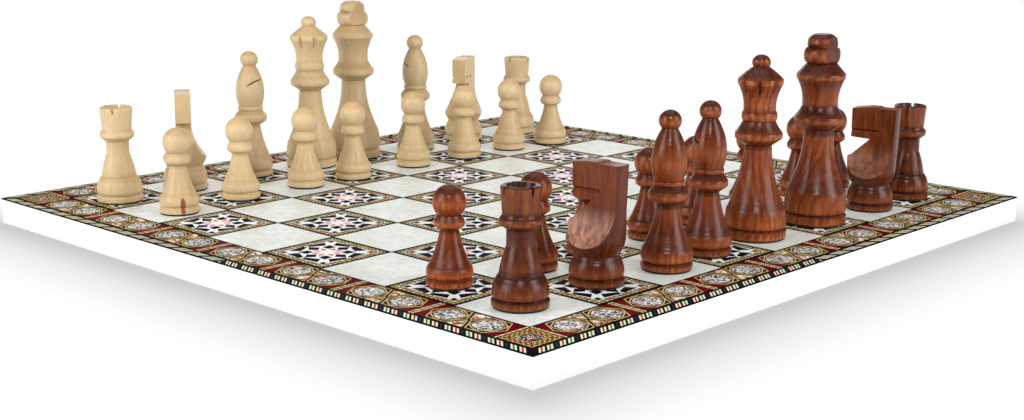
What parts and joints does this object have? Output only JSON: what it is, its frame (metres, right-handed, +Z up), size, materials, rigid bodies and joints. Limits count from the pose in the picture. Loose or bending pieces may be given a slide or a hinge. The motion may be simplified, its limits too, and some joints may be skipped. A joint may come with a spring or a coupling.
{
  "type": "chess set",
  "caption": "Chess set of turned wooden men on a square board with mosaic veneer squares, a medallion border and plain white edges.",
  "frame": {"origin": "under the middle of the board, on the surface that it stands on", "axes": "+Z up; the dark men's edge of the board faces -Y and the light men's edge faces +Y"},
  "size_m": [0.368, 0.368, 0.103],
  "materials": {
    "dark_wood": "stained red-brown, glossy lacquer",
    "light_wood": "pale cream wood, clear lacquer",
    "core_board": "raw fibreboard",
    "white_lacquer": "plain white, satin",
    "backing": "dark plain backing sheet",
    "black_veneer": "black line, lacquered",
    "pearl_veneer": "mother-of-pearl look, glossy",
    "gold_dash_veneer": "dashes of gold, ivory, orange and black, lacquered",
    "mosaic_veneer": "black and white star mosaic, lacquered",
    "rose_veneer": "rose and white star, lacquered",
    "medallion_veneer": "fine silver and white mosaic in gold outlines",
    "border_veneer": "dark red, cream and black border pieces, lacquered",
    "edging_veneer": "black with ivory, red and green slanted bars"
  },
  "bodies": {
    "board": {"core_panel": "core_board", "backing_sheet": "backing", "black_lines": "black_veneer", "light_squares": "pearl_veneer", "square_frames": "gold_dash_veneer", "mosaic_panels": "mosaic_veneer", "star_inlays": "rose_veneer", "star_lozenges": "black_veneer", "medallions": "medallion_veneer", "medallion_rings": "medallion_veneer", "border_wedges": "border_veneer", "border_triangles": "border_veneer", "corner_blocks": "gold_dash_veneer", "corner_panels": "mosaic_veneer", "edging_bars": "edging_veneer", "lipping_front": "white_lacquer", "border_front": "border_veneer", "edging_front": "edging_veneer", "lipping_right": "white_lacquer", "border_right": "border_veneer", "edging_right": "edging_veneer", "lipping_back": "white_lacquer", "border_back": "border_veneer", "edging_back": "edging_veneer", "lipping_left": "white_lacquer", "border_left": "border_veneer", "edging_left": "edging_veneer"},
    "dark_rook_1": {"dark_rook_1": "dark_wood"},
    "dark_rook_2": {"dark_rook_2": "dark_wood"},
    "dark_knight_1": {"dark_knight_1": "dark_wood"},
    "dark_knight_2": {"dark_knight_2": "dark_wood"},
    "dark_bishop_1": {"dark_bishop_1": "dark_wood"},
    "dark_bishop_2": {"dark_bishop_2": "dark_wood"},
    "dark_queen": {"dark_queen": "dark_wood"},
    "dark_king": {"dark_king": "dark_wood"},
    "dark_pawn_1": {"dark_pawn_1": "dark_wood"},
    "dark_pawn_2": {"dark_pawn_2": "dark_wood"},
    "dark_pawn_3": {"dark_pawn_3": "dark_wood"},
    "dark_pawn_4": {"dark_pawn_4": "dark_wood"},
    "dark_pawn_5": {"dark_pawn_5": "dark_wood"},
    "dark_pawn_6": {"dark_pawn_6": "dark_wood"},
    "dark_pawn_7": {"dark_pawn_7": "dark_wood"},
    "dark_pawn_8": {"dark_pawn_8": "dark_wood"},
    "light_rook_1": {"light_rook_1": "light_wood"},
    "light_rook_2": {"light_rook_2": "light_wood"},
    "light_knight_1": {"light_knight_1": "light_wood"},
    "light_knight_2": {"light_knight_2": "light_wood"},
    "light_bishop_1": {"light_bishop_1": "light_wood"},
    "light_bishop_2": {"light_bishop_2": "light_wood"},
    "light_queen": {"light_queen": "light_wood"},
    "light_king": {"light_king": "light_wood"},
    "light_pawn_1": {"light_pawn_1": "light_wood"},
    "light_pawn_2": {"light_pawn_2": "light_wood"},
    "light_pawn_3": {"light_pawn_3": "light_wood"},
    "light_pawn_4": {"light_pawn_4": "light_wood"},
    "light_pawn_5": {"light_pawn_5": "light_wood"},
    "light_pawn_6": {"light_pawn_6": "light_wood"},
    "light_pawn_7": {"light_pawn_7": "light_wood"},
    "light_pawn_8": {"light_pawn_8": "light_wood"}
  },
  "joints": [
    {"name": "lift_dark_rook_1", "type": "slide", "parent": "board", "child": "dark_rook_1", "axis": [0, 0, 1], "range_m": [0, 0.1]},
    {"name": "lift_dark_rook_2", "type": "slide", "parent": "board", "child": "dark_rook_2", "axis": [0, 0, 1], "range_m": [0, 0.1]},
    {"name": "lift_dark_knight_1", "type": "slide", "parent": "board", "child": "dark_knight_1", "axis": [0, 0, 1], "range_m": [0, 0.1]},
    {"name": "lift_dark_knight_2", "type": "slide", "parent": "board", "child": "dark_knight_2", "axis": [0, 0, 1], "range_m": [0, 0.1]},
    {"name": "lift_dark_bishop_1", "type": "slide", "parent": "board", "child": "dark_bishop_1", "axis": [0, 0, 1], "range_m": [0, 0.1]},
    {"name": "lift_dark_bishop_2", "type": "slide", "parent": "board", "child": "dark_bishop_2", "axis": [0, 0, 1], "range_m": [0, 0.1]},
    {"name": "lift_dark_queen", "type": "slide", "parent": "board", "child": "dark_queen", "axis": [0, 0, 1], "range_m": [0, 0.1]},
    {"name": "lift_dark_king", "type": "slide", "parent": "board", "child": "dark_king", "axis": [0, 0, 1], "range_m": [0, 0.1]},
    {"name": "lift_dark_pawn_1", "type": "slide", "parent": "board", "child": "dark_pawn_1", "axis": [0, 0, 1], "range_m": [0, 0.1]},
    {"name": "lift_dark_pawn_2", "type": "slide", "parent": "board", "child": "dark_pawn_2", "axis": [0, 0, 1], "range_m": [0, 0.1]},
    {"name": "lift_dark_pawn_3", "type": "slide", "parent": "board", "child": "dark_pawn_3", "axis": [0, 0, 1], "range_m": [0, 0.1]},
    {"name": "lift_dark_pawn_4", "type": "slide", "parent": "board", "child": "dark_pawn_4", "axis": [0, 0, 1], "range_m": [0, 0.1]},
    {"name": "lift_dark_pawn_5", "type": "slide", "parent": "board", "child": "dark_pawn_5", "axis": [0, 0, 1], "range_m": [0, 0.1]},
    {"name": "lift_dark_pawn_6", "type": "slide", "parent": "board", "child": "dark_pawn_6", "axis": [0, 0, 1], "range_m": [0, 0.1]},
    {"name": "lift_dark_pawn_7", "type": "slide", "parent": "board", "child": "dark_pawn_7", "axis": [0, 0, 1], "range_m": [0, 0.1]},
    {"name": "lift_dark_pawn_8", "type": "slide", "parent": "board", "child": "dark_pawn_8", "axis": [0, 0, 1], "range_m": [0, 0.1]},
    {"name": "lift_light_rook_1", "type": "slide", "parent": "board", "child": "light_rook_1", "axis": [0, 0, 1], "range_m": [0, 0.1]},
    {"name": "lift_light_rook_2", "type": "slide", "parent": "board", "child": "light_rook_2", "axis": [0, 0, 1], "range_m": [0, 0.1]},
    {"name": "lift_light_knight_1", "type": "slide", "parent": "board", "child": "light_knight_1", "axis": [0, 0, 1], "range_m": [0, 0.1]},
    {"name": "lift_light_knight_2", "type": "slide", "parent": "board", "child": "light_knight_2", "axis": [0, 0, 1], "range_m": [0, 0.1]},
    {"name": "lift_light_bishop_1", "type": "slide", "parent": "board", "child": "light_bishop_1", "axis": [0, 0, 1], "range_m": [0, 0.1]},
    {"name": "lift_light_bishop_2", "type": "slide", "parent": "board", "child": "light_bishop_2", "axis": [0, 0, 1], "range_m": [0, 0.1]},
    {"name": "lift_light_queen", "type": "slide", "parent": "board", "child": "light_queen", "axis": [0, 0, 1], "range_m": [0, 0.1]},
    {"name": "lift_light_king", "type": "slide", "parent": "board", "child": "light_king", "axis": [0, 0, 1], "range_m": [0, 0.1]},
    {"name": "lift_light_pawn_1", "type": "slide", "parent": "board", "child": "light_pawn_1", "axis": [0, 0, 1], "range_m": [0, 0.1]},
    {"name": "lift_light_pawn_2", "type": "slide", "parent": "board", "child": "light_pawn_2", "axis": [0, 0, 1], "range_m": [0, 0.1]},
    {"name": "lift_light_pawn_3", "type": "slide", "parent": "board", "child": "light_pawn_3", "axis": [0, 0, 1], "range_m": [0, 0.1]},
    {"name": "lift_light_pawn_4", "type": "slide", "parent": "board", "child": "light_pawn_4", "axis": [0, 0, 1], "range_m": [0, 0.1]},
    {"name": "lift_light_pawn_5", "type": "slide", "parent": "board", "child": "light_pawn_5", "axis": [0, 0, 1], "range_m": [0, 0.1]},
    {"name": "lift_light_pawn_6", "type": "slide", "parent": "board", "child": "light_pawn_6", "axis": [0, 0, 1], "range_m": [0, 0.1]},
    {"name": "lift_light_pawn_7", "type": "slide", "parent": "board", "child": "light_pawn_7", "axis": [0, 0, 1], "range_m": [0, 0.1]},
    {"name": "lift_light_pawn_8", "type": "slide", "parent": "board", "child": "light_pawn_8", "axis": [0, 0, 1], "range_m": [0, 0.1]}
  ]
}
